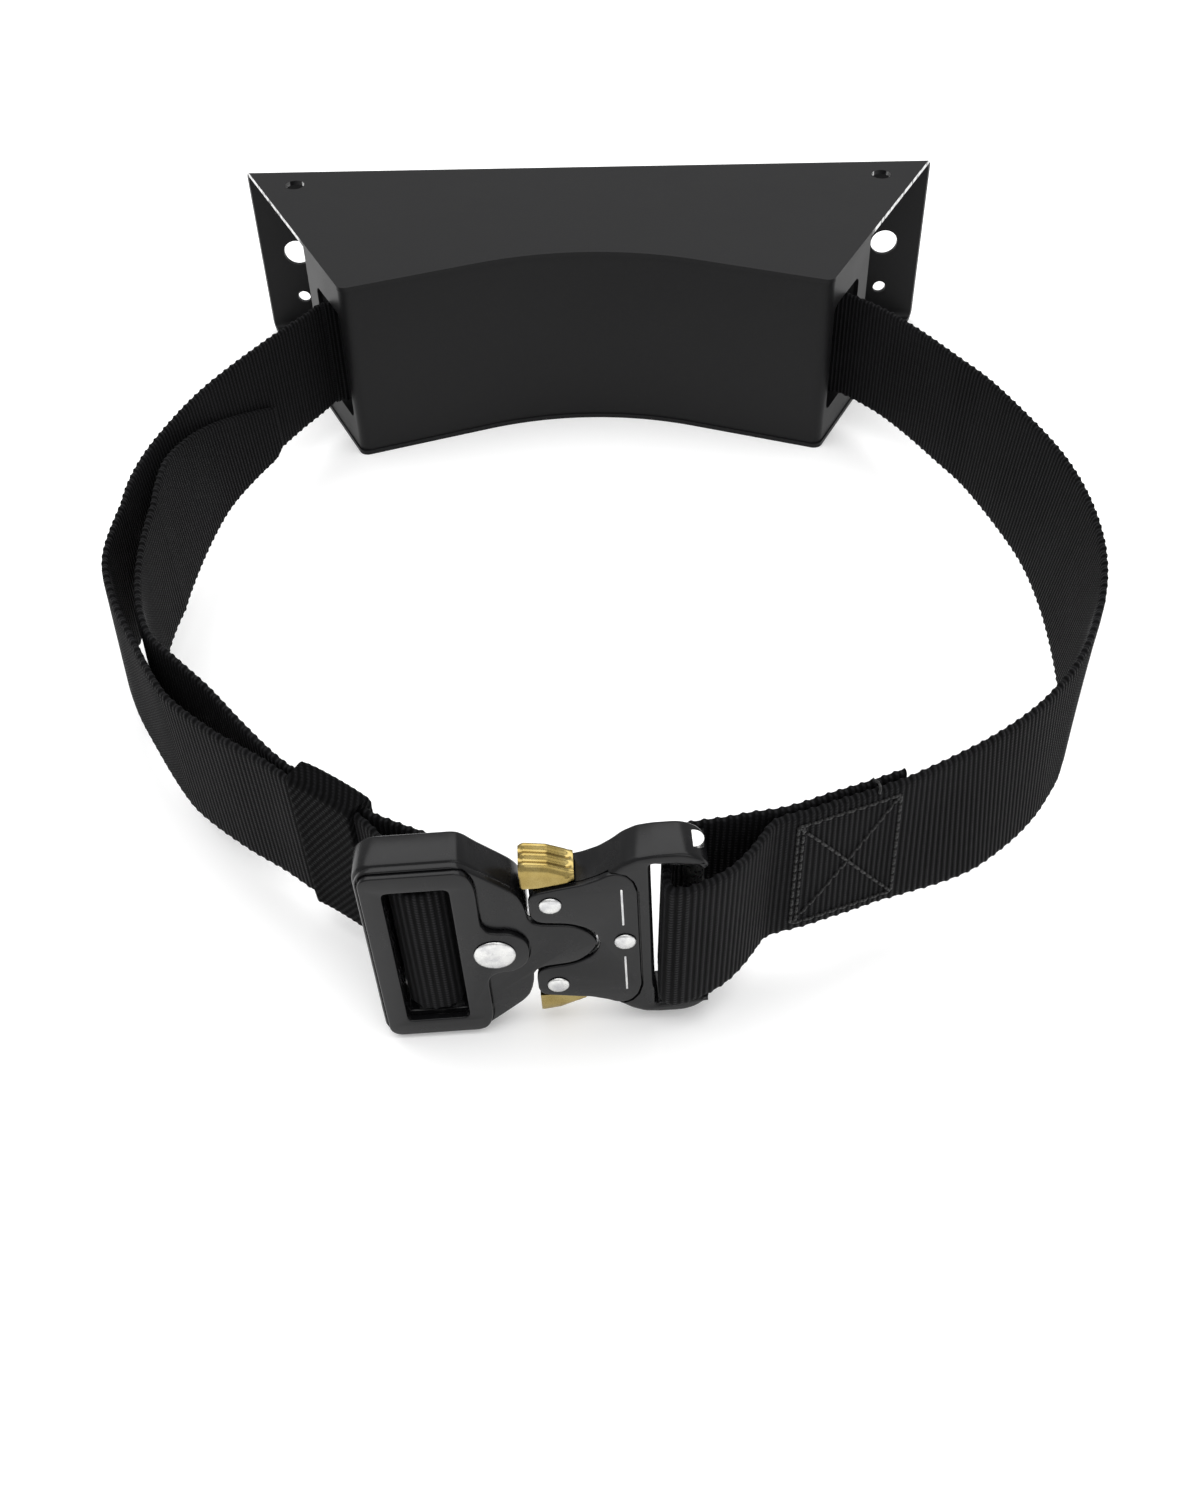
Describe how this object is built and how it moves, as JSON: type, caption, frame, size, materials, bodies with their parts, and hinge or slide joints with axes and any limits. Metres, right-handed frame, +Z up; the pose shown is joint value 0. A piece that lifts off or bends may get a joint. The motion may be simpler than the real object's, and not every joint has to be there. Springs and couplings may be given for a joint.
{
  "type": "gas cylinder wall bracket",
  "caption": "Black folded steel wall bracket with a curved saddle and a webbing strap with a side-lever buckle, for holding one gas cylinder upright.",
  "frame": {"origin": "centre of the back plate's wall face, at mid height", "axes": "+Y into the wall, +Z up, the cylinder stands at -Y; the part is fixed to a wall by its back face and is shown lying on its lower flange and the tongue half's lower edge"},
  "size_m": [0.2688, 0.3146, 0.0636],
  "materials": {
    "black_powder_coat": "satin fine-grained powder coat",
    "black_webbing": "ribbed nylon webbing",
    "black_buckle": "glossy black coated metal",
    "bright_steel": "zinc plated, satin",
    "brass": "yellow zinc passivated, satin"
  },
  "bodies": {
    "bracket_and_socket": {"wall_channel": "black_powder_coat", "saddle": "black_powder_coat", "strap": "black_webbing", "socket_housing": "black_buckle", "socket_front_plate": "black_buckle", "socket_bar": "bright_steel", "upper_lever_rivet": "bright_steel", "lower_lever_rivet": "bright_steel", "middle_rivet": "bright_steel", "upper_spring": "bright_steel", "lower_spring": "bright_steel"},
    "tongue_half": {"strap_free_end": "black_webbing", "strap_keeper": "black_webbing", "tongue_frame": "black_buckle", "tongue_cover": "black_buckle", "tongue_plate": "bright_steel", "tongue_rivet": "bright_steel", "adjuster_bar": "bright_steel"},
    "upper_lever_body": {"upper_lever": "brass"},
    "lower_lever_body": {"lower_lever": "brass"}
  },
  "joints": [
    {"name": "tongue_slide", "type": "slide", "parent": "bracket_and_socket", "child": "tongue_half", "axis": [-0.9983, -0.0523, -0.0262], "range_m": [0, 0.03]},
    {"name": "upper_lever_hinge", "type": "hinge", "parent": "bracket_and_socket", "child": "upper_lever_body", "pos_m": [-0.00621, -0.30804, 0.01288], "axis": [0.0523, -0.9986, 0], "range_deg": [0, 8], "stiffness_Nm_per_rad": 0.15, "springref_deg": -5.73, "deforming": ["upper_spring"]},
    {"name": "lower_lever_hinge", "type": "hinge", "parent": "bracket_and_socket", "child": "lower_lever_body", "pos_m": [-0.00547, -0.308, -0.01551], "axis": [-0.0523, 0.9986, 0], "range_deg": [0, 8], "stiffness_Nm_per_rad": 0.15, "springref_deg": -5.73, "deforming": ["lower_spring"]}
  ]
}
